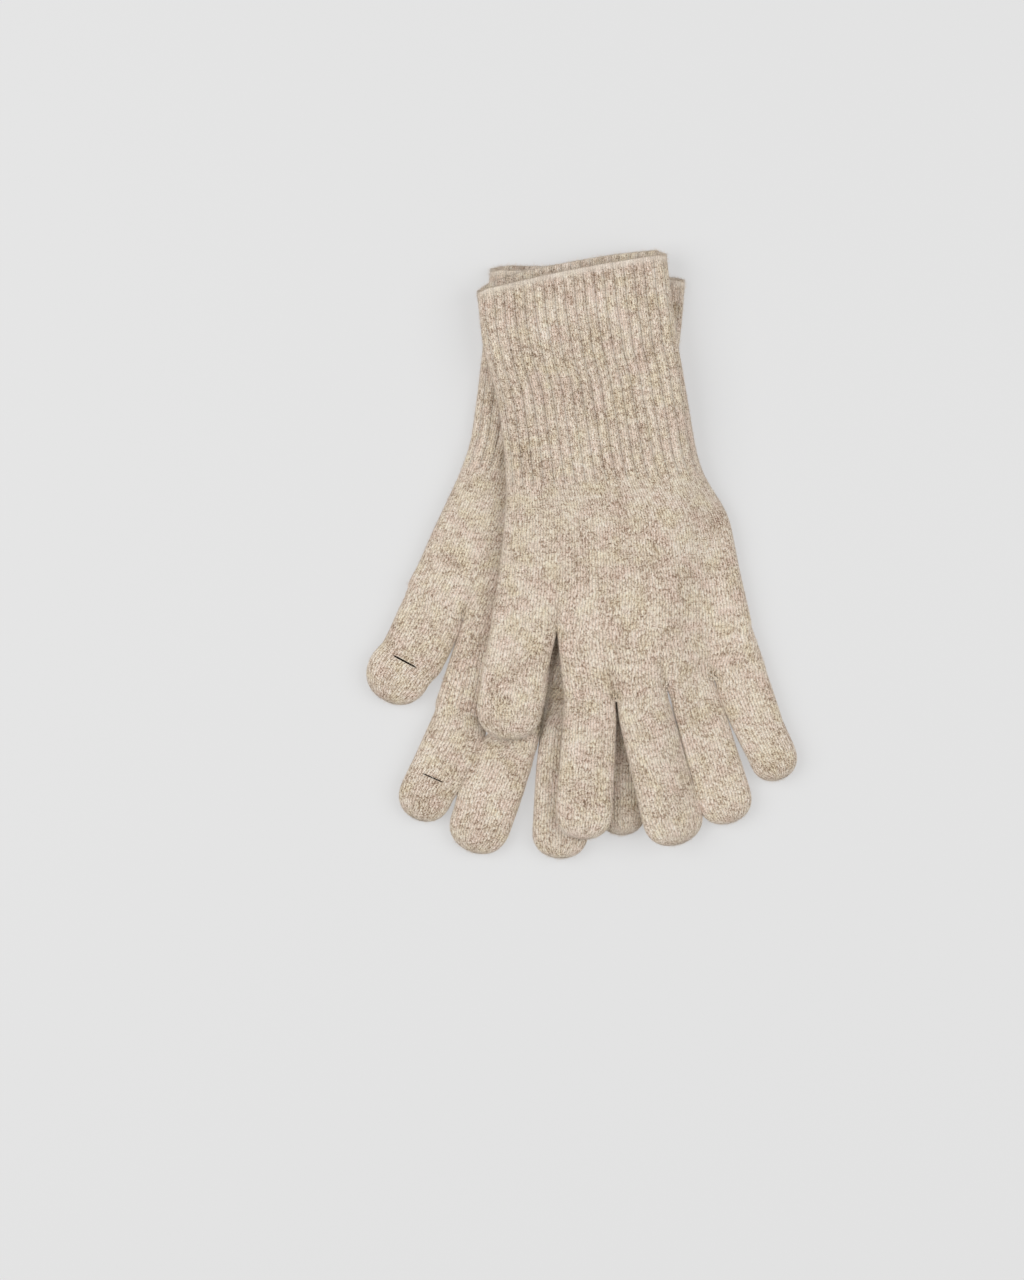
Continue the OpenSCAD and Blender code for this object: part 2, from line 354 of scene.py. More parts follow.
class Stall:
    """Where a finger or thumb starts, its direction, its length and its sides."""

    def __init__(self, side, name):
        self.name = name
        self.body = side + "_" + name
        self.has_tip = name in ("thumb", "index")
        nodes = [self.body] + ([self.body + "_tip"] if self.has_tip else [])
        kind = "_splay" if self.body in COVERED else "_fold"
        hinge = joint(self.body + kind)
        self.base = np.array(hinge["pos_m"][:2])
        co = edges_of(nodes)[:, :, :2].reshape(-1, 2)
        far = np.linalg.norm(co - self.base, axis=1)
        tip_end = co[far > far.max() * TIP_FROM].mean(0)
        if kind == "_fold":
            across = -np.array(hinge["axis"][:2])
            self.ahead = np.array([across[1], -across[0]])
        else:
            self.ahead = unit(tip_end - self.base)
        self.across = np.array([-self.ahead[1], self.ahead[0]])
        self.lay = LAY.get(self.body, ((0, 0, 0), (0, 0, 0), 0))
        self.length = ((co - self.base) @ self.ahead).max() + self.lay[2] * MM
        self.along = np.linspace(1.5 * MM, self.length, 60)
        low, high = silhouette(nodes, self.base, self.ahead, self.along)
        self.low, self.high = soften(low, 3), soften(high, 3)
        wide = np.interp(self.length * RADIUS_AT, self.along, self.high - self.low)
        self.radius = wide / 2 + PROUD
        self.laid_at = (0, *LAID_AT, self.length - self.radius)
        if self.has_tip:
            tip = joint(self.body + "_tip_fold")
            self.slit = (np.array(tip["pos_m"][:2]) - self.base) @ self.ahead

    def sides(self, d):
        """Both sides across, d along. They are kept in at a crotch, so that fingers meet there."""
        grown = PROUD * smooth(d / STALL_RUN)
        start = min(d, self.length - self.radius)
        low = np.interp(start, self.along, self.low) - (PROUD if OPEN[self.name][0] else grown)
        high = np.interp(start, self.along, self.high) + (PROUD if OPEN[self.name][1] else grown)
        low += self.laid(start, 0)
        high += self.laid(start, 1)
        if self.body == "left_thumb":
            high -= THUMB_BITE * smooth(d / STALL_RUN) * (1 - smooth(d / BITE_RUN - BITE_FROM))
        past = min((d - start) / self.radius, 1)
        left = (1 - past ** TIP_POWER) ** (1 / TIP_POWER)
        middle = (low + high) / 2
        return middle - (middle - low) * left, middle + (high - middle) * left

    def laid(self, d, which):
        """How far a side lies from the CAD's side, d along."""
        values = (0, *self.lay[which])
        total = 0.0
        for a, b, start, stop in zip(values, values[1:], self.laid_at, self.laid_at[1:]):
            total += (b - a) * MM * smooth((d - start) / (stop - start))
        return total

    def open_sides(self, s):
        """Where a row is on a side that has no neighbour."""
        low, high = OPEN[self.name]
        return np.where(s < 0.5, low, high)

    def row(self, d, s):
        low, high = self.sides(d)
        side = mix(low, high, s)
        return self.base + self.ahead * d + self.across[None] * side[:, None]

    def ends(self):
        low, high = self.sides(0)
        return self.base + self.across * low, self.base + self.across * high


class Glove:
    """One glove's plan: its side curves and the lines that its regions start and end on."""

    def __init__(self, side):
        self.side = side
        self.left = side == "left"
        self.stalls = {name: Stall(side, name) for name in ("thumb",) + FINGERS}
        self.mouth = self.top_corners("cuff_welt")
        self.wrist = self.top_corners("hand_body")
        self.palm = self.top_corners("knuckle_body")
        thumb = self.stalls["thumb"].ends()
        self.end = (thumb[0], self.palm[1] + [PROUD, 0])
        self.crotch = (thumb[1] + self.palm[0]) / 2
        self.sides = [self.side_curve(0), self.side_curve(1)]
        self.trunk_span = self.mouth[0][1] - self.end[0][1]
        mouth_y = (self.mouth[0][1] + self.mouth[1][1]) / 2
        wrist_y = (self.wrist[0][1] + self.wrist[1][1]) / 2
        end_y = (self.end[0][1] + self.end[1][1]) / 2
        self.trunk_len = mouth_y - end_y
        self.wrist_t = (mouth_y - wrist_y) / self.trunk_len

    def top_corners(self, section):
        node = self.side + "_" + section
        return corner(node, (-0.3, 1)), corner(node, (0.3, 1))

    def side_curve(self, which):
        """One side of the trunk, as x at falling y."""
        nodes = [self.side + "_" + n for n in ("cuff_welt", "cuff", "hand_body", "knuckle_body")]
        y = np.arange(self.mouth[which][1] - 0.5 * MM, self.end[which][1], -2 * MM)
        x = silhouette(nodes, (0, 0), np.array([0.0, -1.0]), -y)[which]
        return y, soften(x, 5) + (PROUD if which else -PROUD)

    def side_point(self, which, t):
        keys = [0, self.wrist_t, 1]
        y = np.interp(t, keys, [p[which][1] for p in (self.mouth, self.wrist, self.end)])
        curve_y, curve_x = self.sides[which]
        end = self.end[which]
        miss = end[0] - np.interp(-end[1], -curve_y, curve_x)
        joined = smooth((t - 1) * self.trunk_span / JOIN_RUN + 1)
        return np.array([np.interp(-y, -curve_y, curve_x) + miss * joined, y])

    def trunk_row(self, t, s):
        """Points from side to side, t of the way from the mouth to the thumb and palm lines."""
        a, b = self.side_point(0, t), self.side_point(1, t)
        row = mix(a, b, s[:, None])
        bend = smooth((t - 1) * self.trunk_len / BEND_RUN + 1)
        keys = [0, THUMB_SHARE, 1]
        line = [self.side_point(0, 1), self.crotch, self.side_point(1, 1)]
        bent = np.stack([np.interp(s, keys, [p[i] for p in line]) for i in (0, 1)], 1)
        return row + bend * (bent - mix(line[0], line[2], s[:, None]))

    def knuckle_row(self, t, s):
        """Points from side to side, t of the way from the palm line to the knuckle lines."""
        start = mix(self.crotch, self.side_point(1, 1), s[:, None])
        keys, line = [], []
        for i, name in enumerate(FINGERS):
            for e, point in enumerate(self.stalls[name].ends()):
                inward = 0 if (i, e) in ((0, 0), (3, 1)) else (CROTCH_SHARE, -CROTCH_SHARE)[e]
                keys.append((i + e) / 4 + inward)
                line.append(point)
        end = np.stack([np.interp(s, keys, [p[i] for p in line]) for i in (0, 1)], 1)
        return mix(start, end, t)

    def course(self, xy, s):
        mouth_y = mix(self.mouth[0][1], self.mouth[1][1], s)
        return (mouth_y - xy[:, 1]) / COURSE


def half_thickness(xy, pinches):
    """Half thickness along a row: round at both sides, and closed at some places by some share."""
    arc = np.concatenate([[0], np.cumsum(np.linalg.norm(np.diff(xy, axis=0), axis=1))])
    full = side_profile(np.minimum(arc, arc[-1] - arc))
    for index, share in pinches:
        closed = np.maximum(side_profile(np.abs(arc - arc[index])), PINCH * 2 / GLOVE_T)
        full = full * (1 - share * (1 - closed))
    return full * GLOVE_T / 2


def trunk_half(glove, t, s, xy):
    pinch = smooth((t - 1) * glove.trunk_len / PINCH_RUN + 1)
    at = int(np.argmin(np.abs(s - THUMB_SHARE)))
    return np.maximum(half_thickness(xy, [(at, pinch)]), EDGE)


def segments(bounds, counts):
    """Places from 0 to 1 that are closer together at every bound."""
    parts = [mix(a, b, spread(n))[:-1] for a, b, n in zip(bounds, bounds[1:], counts)]
    return np.concatenate(parts + [[1.0]])


def cuff_tube(glove, start, stop):
    """The rib between two places along the trunk."""
    tube = Tube(glove.left)
    s = spread(CUFF_PLACES)
    for t in np.linspace(start, stop, int((stop - start) * glove.trunk_len / ROW_STEP) + 2):
        add_cuff_row(tube, glove, t, s, 0, 0)
    return tube


# How far a cuff's lower layer reaches past the upper one in mm, at places from side to side
LAPS = {
    "left": ((0.0, 0.08, 0.28, 0.45, 0.75, 0.95, 1.0), (1.0, 2.9, 4.4, 4.0, 3.7, 2.8, 1.0)),
    "right": ((0.0, 0.1, 0.5, 0.85, 1.0), (1.6, 2.6, 2.6, 1.6, 1.4)),
}


def add_cuff_row(tube, glove, t, s, inset, forward, ribbed=1.0):
    """One row of a cuff. inset moves it in from the outside, and forward out of the mouth."""
    xy = glove.trunk_row(t, s)
    ahead = unit(glove.trunk_row(0.0, s)[0] - glove.trunk_row(0.02, s)[0])
    half = trunk_half(glove, t, s, xy)
    course = glove.course(xy, s)
    across = unit(xy[-1] - xy[0])
    near = np.minimum(s, 1 - s) * np.linalg.norm(xy[-1] - xy[0])
    push = inset * (1 - smooth(near / (ROUND * 0.6)))
    deep = t * glove.trunk_len
    droop = CORNER * (1 - smooth(near / CORNER_WIDE)) * (1 - smooth(deep / CORNER_DEEP))
    way = forward - droop + BOW * np.sin(math.pi * s) * (1 - smooth(deep / BOW_DEEP))
    xy = xy + across * (push * np.where(s < 0.5, 1, -1))[:, None] + ahead * way[:, None]
    half = np.maximum(half - inset, EDGE)
    lap = np.interp(s, *LAPS[glove.side]) * MM * (1 - smooth(deep / LAP_DEEP))
    to_wrist = (glove.wrist_t - t) * glove.trunk_len / RIBS_TO
    ribbed = ribbed * smooth(deep / RIBS_FROM) * smooth(to_wrist) * smooth(near / RIBS_SIDE)
    ribbed = ribbed * (1 + RIBS_UNEVEN * UNEVEN(xy[:, 0], xy[:, 1]))
    wale = s * RIBS * WALES_PER_RIB
    # painted highlight along the rolled edge, fading over a short run from the mouth
    edge_highlight = 1 - smooth(deep / (HIGHLIGHT_OUTSIDE if inset == 0 else HIGHLIGHT_INSIDE))
    tube.add(xy, half, half, wale, course, ahead * lap[:, None], ribbed, edge_highlight)


def welt_tube(glove, stop):
    """The cuff's inside, its rolled edge and the first of its outside."""
    tube = Tube(glove.left)
    s = spread(CUFF_PLACES)
    for t in np.linspace(LINING / glove.trunk_len, 0, 24):
        add_cuff_row(tube, glove, t, s, WALL, 0, LINING_RIBS)
    for turn in np.linspace(0, math.pi, 7)[1:-1]:
        inset = WALL * (1 + math.cos(turn)) / 2 - ROLL_BULGE * math.sin(turn)
        add_cuff_row(tube, glove, 0, s, inset, ROLL_OUT * math.sin(turn))
    for t in np.linspace(0, stop, 6):
        add_cuff_row(tube, glove, t, s, 0, 0)
    return tube


def hand_tube(glove):
    tube = Tube(glove.left)
    s = segments((0, THUMB_SHARE, 1), HAND_PLACES)
    rows = int((1 - glove.wrist_t) * glove.trunk_len / ROW_STEP)
    for t in np.linspace(glove.wrist_t, 1, rows):
        xy = glove.trunk_row(t, s)
        half = trunk_half(glove, t, s, xy)
        tube.add(xy, half, half, s * HAND_WALES, glove.course(xy, s))
    return tube


def knuckle_tube(glove):
    tube = Tube(glove.left)
    inner = [b for i in (1, 2, 3) for b in (i / 4 - CROTCH_SHARE, i / 4 + CROTCH_SHARE)]
    bounds = [0] + inner + [1]
    s = segments(bounds, (FINGER_PLACES, CROTCH_PLACES) * 3 + (FINGER_PLACES,))
    ends = [p for name in FINGERS for p in glove.stalls[name].ends()]
    depth = np.linalg.norm(ends[0] - glove.crotch)
    for t in np.linspace(0, 1, int(depth / ROW_STEP) + 2):
        xy = glove.knuckle_row(t, s)
        pinch = smooth((t - 1) * depth / PINCH_RUN + 1)
        places = [(int(np.argmin(np.abs(s - b))), pinch) for b in inner]
        beside_thumb = 1 - smooth(t * depth / (8 * MM))
        half = np.maximum(half_thickness(xy, places), EDGE)
        half = np.maximum(half, PINCH * beside_thumb * (s < 0.02))
        whole = mix(THUMB_SHARE, 1, s)
        tube.add(xy, half, half, whole * HAND_WALES, glove.course(xy, whole))
    return tube


def stall_tube(glove, stall, start, stop, slit_end=None):
    """A finger between two distances from its base line. slit_end is 'lip' or 'tip'."""
    tube = Tube(glove.left)
    s = spread(STALL_PLACES)
    radius = stall.radius
    d = np.arange(start, min(stop, stall.length - radius), ROW_STEP)
    if stop >= stall.length:
        turn = np.linspace(0, math.pi / 2, 18)[:-1]
        last = stall.length - 0.15 * MM
        d = np.concatenate([d, stall.length - radius * (1 - np.sin(turn)), [last]])
    else:
        d = np.append(d, stop)
    window = smooth((s - SLIT[0]) / SLIT_END) * smooth((SLIT[1] - s) / SLIT_END)
    low, high = stall.sides(stall.length * 0.4)
    wales = (high - low) / WALE
    for place in d:
        xy = stall.row(place, s)
        near = np.minimum(s, 1 - s) * np.linalg.norm(xy[-1] - xy[0])
        past = np.clip((place - (stall.length - radius)) / radius, 0, 1)
        narrower = 2 * radius / max(2 * near.max(), 4 * MM) if past > 0 else 1
        full = side_profile(near * max(1, narrower) ** 0.5)
        half = full * GLOVE_T / 2 * math.sqrt(max(1 - TIP_THINNER * past ** PLUMP, 0.02))
        floor = mix(PINCH, EDGE, smooth(place / CLOSED_RUN))
        half = np.maximum(half, np.where(stall.open_sides(s), EDGE, floor))
        half = half - TUCKED_IN * (1 - smooth((place + BASE_LAP) / BASE_LAP)) * (start < 0)
        half = np.maximum(half, EDGE)
        slit = 0.0
        if slit_end == "lip":
            slit = -smooth((place - stop) / SLIT_RUN + 1)
        elif slit_end == "tip":
            slit = 1 - smooth((place - start) / SLIT_RUN)
        lifted = half + np.sign(-slit) * LIP * abs(slit) * window
        joined = half - (GROOVE * abs(slit) if stall.name == "index" else 0)
        gap = SLIT_GAP * (1 if stall.name == "thumb" else INDEX_GAP)
        apart = stall.ahead * (window * slit * gap / 2)[:, None]
        wale = s * wales + STALL_KNIT[0]
        course = np.full_like(s, place / COURSE + STALL_KNIT[1])
        if glove.left:
            tube.add(xy, joined, lifted, wale, course, apart)
        else:
            tube.add(xy + apart, lifted, half, wale, course, -apart)
    return tube


# ---------------------------------------------------------------- materials

def linear(r, g, b):
    """An sRGB colour, 0 to 255, as Blender's linear colour."""
    c = np.array([r, g, b]) / 255
    c = np.where(c <= 0.04045, c / 12.92, ((c + 0.055) / 1.055) ** 2.4)
    return (*c, 1.0)


class Nodes:
    """A short way to lay out a material's nodes."""

    def __init__(self, name):
        self.material = bpy.data.materials.new(name)
        self.material.use_nodes = True
        self.tree = self.material.node_tree
        self.surface = self.tree.nodes["Principled BSDF"]

    def add(self, kind, inputs=None, **settings):
        made = self.tree.nodes.new("ShaderNode" + kind)
        for key, value in settings.items():
            setattr(made, key, value)
        for key, value in (inputs or {}).items():
            self.put(made.inputs[key], value)
        return made

    def put(self, socket, value):
        if isinstance(value, bpy.types.NodeSocket):
            self.tree.links.new(value, socket)
        else:
            socket.default_value = value

    def math(self, operation, a, b=0.0, c=0.0):
        made = self.add("Math", {0: a, 1: b, 2: c}, operation=operation)
        return made.outputs[0]

    def ramp(self, value, stops):
        made = self.add("ValToRGB", {"Fac": value})
        elements = made.color_ramp.elements
        elements[0].position, elements[0].color = stops[0]
        elements[1].position, elements[1].color = stops[-1]
        for position, colour in stops[1:-1]:
            elements.new(position).color = colour
        return made.outputs["Color"]

    def blend(self, fac, a, b, mode="MIX"):
        made = self.add("Mix", {"Factor": fac}, data_type="RGBA", blend_type=mode)
        self.put(made.inputs[6], a)
        self.put(made.inputs[7], b)
        return made.outputs[2]


MELANGE = (
    (0.0, linear(112, 90, 70)),
    (0.25, linear(178, 156, 136)),
    (0.5, linear(229, 214, 198)),
    (0.75, linear(247, 239, 227)),
    (1.0, linear(255, 252, 246)),
)
HUES = ((0.3, linear(255, 245, 241)), (0.5, linear(255, 251, 245)), (0.7, linear(254, 250, 236)))
# the lighter colour of the painted highlight on a cuff's rolled edge
ROLLED_EDGE_HIGHLIGHT = linear(240, 231, 219)
SHEEN = linear(250, 240, 226)
FIBRE_SCALE = 2200.0     # of the noise that stands for single fibres
FIBRE_SHADES = (
    (0.25, linear(176, 158, 140)),
    (0.5, linear(214, 200, 184)),
    (0.75, linear(246, 238, 226)),
)


def knit_colour(m, u, v, tone):
    """Melange wool: fibres of several shades, in streaks that run along the courses."""
    place = m.add("Attribute", attribute_name="place").outputs["Vector"]
    streak = m.add("Mapping", {"Vector": place, "Scale": (260.0, 700.0, 500.0)})
    yarn = m.add("TexNoise", {"Vector": streak.outputs[0], "Scale": 1.0, "Detail": 3.0,
                              "Roughness": 0.6}).outputs["Fac"]
    leg = m.add("CombineXYZ", {0: m.math("FLOOR", m.math("MULTIPLY", u, 2.0)),
                               1: m.math("FLOOR", v)})
    each = m.add("TexWhiteNoise", {"Vector": leg.outputs[0]}).outputs["Value"]
    fibre = m.add("TexNoise", {"Vector": place, "Scale": FIBRE_SCALE, "Detail": 2.0,
                               "Roughness": 0.75}).outputs["Fac"]
    blotch = m.add("TexNoise", {"Vector": place, "Scale": 85.0, "Detail": 2.5}).outputs["Fac"]
    shade = 0.5 + tone
    for noise, strength in ((yarn, 0.6), (each, 0.42), (fibre, 2.2), (blotch, 0.52)):
        shade = m.math("MULTIPLY_ADD", m.math("SUBTRACT", noise, 0.5), strength, shade)
    colour = m.ramp(shade, MELANGE)
    tint = m.add("TexNoise", {"Vector": place, "Scale": 150.0, "Detail": 1.0}).outputs["Fac"]
    return m.blend(1.0, colour, m.ramp(tint, HUES), "MULTIPLY")


def knit_material(name, tone, depth, ribbed=False):
    """Stocking stitch: each column is two legs that lean together, one V above the next. Its colour
    carries painted shade: darker in the hollows between the legs and rows, and with ribs also in
    the furrows between them.
    """
    m = Nodes(name)
    knit = m.add("Attribute", attribute_name="knit").outputs["Vector"]
    split = m.add("SeparateXYZ", {0: knit})
    u, v = split.outputs[0], split.outputs[1]
    # off is the distance from a column's middle, leg is highest along each of its legs, column
    # falls away towards the next one, and lean is the place along a leg
    off = m.math("ABSOLUTE", m.math("SUBTRACT", m.math("FRACT", u), 0.5))
    leg = m.math("SUBTRACT", 1.0, m.math("ABSOLUTE", m.math("MULTIPLY_ADD", off, 4.0, -1.0)))
    column = m.math("SUBTRACT", 1.0, m.math("POWER", m.math("MULTIPLY", off, 2.0), 3.0))
    lean = m.math("MULTIPLY_ADD", off, 1.5, v)
    row = m.math("MULTIPLY_ADD", m.math("COSINE", m.math("MULTIPLY", lean, 2 * math.pi)), 0.2, 0.8)
    height = m.math("MULTIPLY", m.math("MULTIPLY_ADD", leg, 0.35, 0.65), row)
    height = m.math("MULTIPLY", height, m.math("POWER", m.math("MAXIMUM", column, 0.001), 0.7))
    colour = knit_colour(m, u, lean, tone)
    # painted shade: the colour is darkened where the stitches fall away into their hollows
    hollow_shade = m.math("MULTIPLY_ADD", height, 0.54, 0.57)
    if ribbed:
        # painted shade in the ribs' furrows: darker between the ridges
        turn = m.math("MULTIPLY", u, math.pi / WALES_PER_RIB)
        ridge = m.math("POWER", m.math("ABSOLUTE", m.math("SINE", turn)), 0.6)
        hollow_shade = m.math("MULTIPLY", hollow_shade, m.math("MULTIPLY_ADD", ridge, 0.36, 0.7))
    # the painted shade as a grey that multiplies the wool's colour
    painted_shade_grey = m.add("CombineColor", {0: hollow_shade, 1: hollow_shade, 2: hollow_shade})
    colour = m.blend(1.0, colour, painted_shade_grey.outputs[0], "MULTIPLY")
    if ribbed:
        # painted highlight: the rolled edge is mixed towards a lighter colour
        colour = m.blend(m.math("MULTIPLY", split.outputs[2], 0.55), colour, ROLLED_EDGE_HIGHLIGHT)
    m.put(m.surface.inputs["Base Color"], colour)
    place = m.add("Attribute", attribute_name="place").outputs["Vector"]
    fluff = m.add("TexNoise", {"Vector": place, "Scale": FIBRE_SCALE, "Detail": 2.0}).outputs["Fac"]
    relief = m.math("MULTIPLY_ADD", fluff, 0.45, height)
    bump = m.add("Bump", {"Strength": 0.75, "Distance": depth, "Height": relief})
    m.put(m.surface.inputs["Normal"], bump.outputs[0])
    wool_surface(m)
    return m.material


def wool_surface(m):
    for name, value in (("Roughness", 0.95), ("Specular IOR Level", 0.15), ("Sheen Weight", 0.6),
                        ("Sheen Roughness", 0.45), ("Sheen Tint", SHEEN)):
        m.surface.inputs[name].default_value = value


def fluff_material(name):
    m = Nodes(name)
    knit = m.add("Attribute", attribute_name="knit").outputs["Vector"]
    each = m.add("TexNoise", {"Vector": knit, "Scale": 1.7}).outputs["Fac"]
    m.put(m.surface.inputs["Base Color"], m.ramp(each, FIBRE_SHADES))
    wool_surface(m)
    return m.material


STOCKING = knit_material("stocking_knit", 0.02, 0.5 * MM)
RIBBED = knit_material("rib_knit", 0.0, 0.45 * MM, ribbed=True)
FLUFF = fluff_material("loose_fibres")


# ---------------------------------------------------------------- stage, light and camera

VIEW_HEIGHT = 538 * MM   # of the surface that the picture takes in
VIEW_FROM = 1.6          # camera's height
VIEW_AIM = (-28.9 * MM, -34.45 * MM)
SURFACE_HALF = 4.0       # half the surface's width
SURFACE_DROP = 0.3 * MM  # how far it lies below the gloves' lowest points
SURFACE_GREY = (0.3, 0.3, 0.3, 1)
SURFACE_GLOW = 0.44      # light of its own, as the photo's surface has hardly a shadow
ROOM_LIGHT = 0.45
WHITE = (1, 1, 1, 1)
LIGHT_SIZE = 1.3
LIGHTS = (("left_box", (-1.1, 0.1, 1.2), 16), ("right_box", (1.1, 0.0, 1.2), 12.3))


def stage_and_camera():
    scene = bpy.context.scene
    mesh = bpy.data.meshes.new("surface")
    r = SURFACE_HALF
    mesh.from_pydata([(-r, -r, 0), (r, -r, 0), (r, r, 0), (-r, r, 0)], [], [(0, 1, 2, 3)])
    surface = bpy.data.objects.new("surface", mesh)
    surface.location.z = -SURFACE_DROP
    m = Nodes("surface")
    for name, value in (("Base Color", SURFACE_GREY), ("Emission Color", WHITE),
                        ("Emission Strength", SURFACE_GLOW), ("Roughness", 1.0),
                        ("Specular IOR Level", 0.1)):
        m.surface.inputs[name].default_value = value
    mesh.materials.append(m.material)
    scene.collection.objects.link(surface)

    data = bpy.data.cameras.new("camera")
    data.lens = data.sensor_width * VIEW_FROM / VIEW_HEIGHT
    data.clip_start = 0.01
    camera = bpy.data.objects.new("camera", data)
    camera.location = (*VIEW_AIM, VIEW_FROM)
    scene.collection.objects.link(camera)
    scene.camera = camera

    world = bpy.data.worlds.new("room")
    world.use_nodes = True
    background = world.node_tree.nodes["Background"]
    background.inputs["Color"].default_value = WHITE
    background.inputs["Strength"].default_value = ROOM_LIGHT
    scene.world = world
    for light in LIGHTS:
        add_light(*light)
    scene.view_settings.view_transform = "Standard"


def add_light(name, place, power):
    """A square light that faces the gloves."""
    data = bpy.data.lights.new(name, "AREA")
    data.size = LIGHT_SIZE
    data.energy = power
    light = bpy.data.objects.new(name, data)
    light.location = place
    light.rotation_euler = (-Vector(place)).to_track_quat("-Z", "Y").to_euler()
    bpy.context.scene.collection.objects.link(light)


# ---------------------------------------------------------------- meshes

def rib_relief(knit, ribbed):
    """Ribs stand out as rounded ridges with narrow furrows between them."""
    phase = knit[:, 0] / WALES_PER_RIB
    ridge = np.abs(np.sin(math.pi * phase)) ** 0.75
    return (ridge - 0.6) * RIB_DEPTH * ribbed


def fibres(points, normals, quads, knit, count, long):
    """Loose fibres: short curved ribbons that stand off the surface."""
    sides = 1 + SIDE_FIBRES * (1 - np.abs(normals[quads[:, 0], 2])) ** 2
    pick = quads[RNG.choice(len(quads), count, p=sides / sides.sum())]
    corner_a, corner_b = points[pick[:, 0]], points[pick[:, 2]]
    root = mix(corner_a, corner_b, RNG.uniform(0, 1, (count, 1)))
    up = normals[pick[:, 0]]
    drift = RNG.normal(size=(count, 3))
    drift -= up * np.sum(drift * up, 1, keepdims=True)
    drift /= np.maximum(np.linalg.norm(drift, axis=1, keepdims=True), 1e-9)
    side = np.cross(up, drift)
    length = RNG.uniform(0.35, 1.0, (count, 1)) * long
    rise = RNG.uniform(0.08, 0.5, (count, 1))
    curl = RNG.uniform(-0.7, 0.7, (count, 1))
    width = RNG.uniform(0.025, 0.05, (count, 1)) * MM
    strips = []
    for k in range(4):
        t = k / 3
        centre = root + length * (drift * t + up * rise * (t - 0.55 * t * t) + side * curl * t * t)
        across = side + drift * curl
        taper = width * (1 - 0.6 * t)
        strips.append(centre - across * taper)
        strips.append(centre + across * taper)
    verts = np.stack(strips, 1).reshape(-1, 3)
    verts[:, 2] = np.maximum(verts[:, 2], 0.02 * MM)
    base = np.arange(count)[:, None, None] * 8
    steps = np.array([[0, 1, 3, 2], [2, 3, 5, 4], [4, 5, 7, 6]])[None]
    faces = (base + steps).reshape(-1, 4)
    return verts, faces, np.repeat(knit[pick[:, 0]], 8, axis=0)


def store_points(mesh, knit):
    """Stores each point's knit coordinates, and its place at rest.

    The place keeps the wool's colours where they are as it bends.
    """
    co = np.zeros(len(mesh.vertices) * 3, np.float32)
    mesh.vertices.foreach_get("co", co)
    for name, values in (("knit", knit.astype(np.float32).ravel()), ("place", co)):
        attribute = mesh.attributes.new(name, "FLOAT_VECTOR", "POINT")
        attribute.data.foreach_set("vector", values)


def piece(name, tube, material, nodes, tip=False, web=()):
    """Makes one knitted section's object from a tube's rows."""
    loop = len(tube.rows[0])
    points = np.concatenate(tube.rows)
    knit = np.concatenate(tube.knit)
    normals = normals_of(points, loop)
    points = points + normals * rib_relief(knit, np.concatenate(tube.ribbed))[:, None]
    points[:, 2] = np.maximum(points[:, 2], 0.0)
    normals = normals_of(points, loop)
    quads = grid_faces(len(tube.rows), loop)
    extra = []
    if tip:
        last = len(points) - loop
        points = np.vstack([points, points[last:].mean(0)])
        knit = np.vstack([knit, knit[last:].mean(0)])
        normals = np.vstack([normals, normals[last:].mean(0)])
        extra += [(last + i, len(points) - 1, last + (i + 1) % loop) for i in range(loop)]
    last = len(tube.rows) * loop - loop
    extra += [(last + i, last + loop - 1 - i, last + loop - 2 - i, last + i + 1) for i in web]
    area = np.linalg.norm(points[quads[:, 2]] - points[quads[:, 0]], axis=1) ** 2 / 2
    count = int(area.sum() / (10 * MM) ** 2 * FIBRES_PER_CM2)
    more, ribbons, more_knit = fibres(points, normals, quads, knit, count, FIBRE_LONG)
    mesh = bpy.data.meshes.new(name)
    faces = quads.tolist() + extra + (ribbons + len(points)).tolist()
    mesh.from_pydata(np.vstack([points, more]).tolist(), [], faces)
    mesh.materials.append(material)
    mesh.materials.append(FLUFF)
    kinds = np.zeros(len(faces), np.int32)
    kinds[len(quads) + len(extra):] = 1
    mesh.polygons.foreach_set("material_index", kinds)
    mesh.polygons.foreach_set("use_smooth", np.ones(len(faces), bool))
    store_points(mesh, np.vstack([knit, more_knit]))
    mesh.update()
    made = bpy.data.objects.new(name, mesh)
    bpy.context.scene.collection.objects.link(made)
    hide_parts(*nodes)
    return made


def fold(made):
    """Bakes a piece's transform into its mesh; it does not bend it."""
    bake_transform(made)


def build_glove(side):
    glove = Glove(side)
    body = side + "_glove"
    wrist = glove.wrist_t
    welt_end = WELT / glove.trunk_len
    welt = piece(side + "_cuff_edge_knit", welt_tube(glove, welt_end), RIBBED,
                 [side + "_cuff_welt"])
    cuff = piece(side + "_cuff_knit", cuff_tube(glove, welt_end, wrist), RIBBED,
                 [side + "_cuff"])
    if glove.left:
        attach(welt, "left_cuff")
        fold(cuff)
    else:
        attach(welt, body)
        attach(cuff, body)
    hand = piece(side + "_hand_knit", hand_tube(glove), STOCKING,
                 [side + "_hand_body"])
    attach(hand, body)
    knuckles = knuckle_tube(glove)
    web = [i for i in range(len(knuckles.rows[0]) // 2 - 1) if in_crotch(i)]
    knuckle = piece(side + "_knuckles_knit", knuckles, STOCKING,
                    [side + "_knuckle_body"], web=web)
    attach(knuckle, body)
    for stall in glove.stalls.values():
        build_stall(glove, stall)
    return glove


def in_crotch(i):
    """Whether a step of the knuckle row is in one of its three crotches, past a finger's steps."""
    finger = FINGER_PLACES - 1
    both = finger + CROTCH_PLACES - 1
    return i < 3 * both and i % both >= finger


def build_stall(glove, stall):
    body = stall.body
    middle = stall.slit if stall.has_tip else stall.length
    tube = stall_tube(glove, stall, -BASE_LAP, middle, "lip" if stall.has_tip else None)
    made = piece(body + "_knit", tube, STOCKING, [body], tip=not stall.has_tip)
    if body in COVERED:
        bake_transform(made)
    else:
        fold(made)
    if stall.has_tip:
        tube = stall_tube(glove, stall, stall.slit, stall.length, "tip")
        made = piece(body + "_tip_knit", tube, STOCKING, [body + "_tip"], tip=True)
        fold(made)


# ---------------------------------------------------------------- crotch yarn

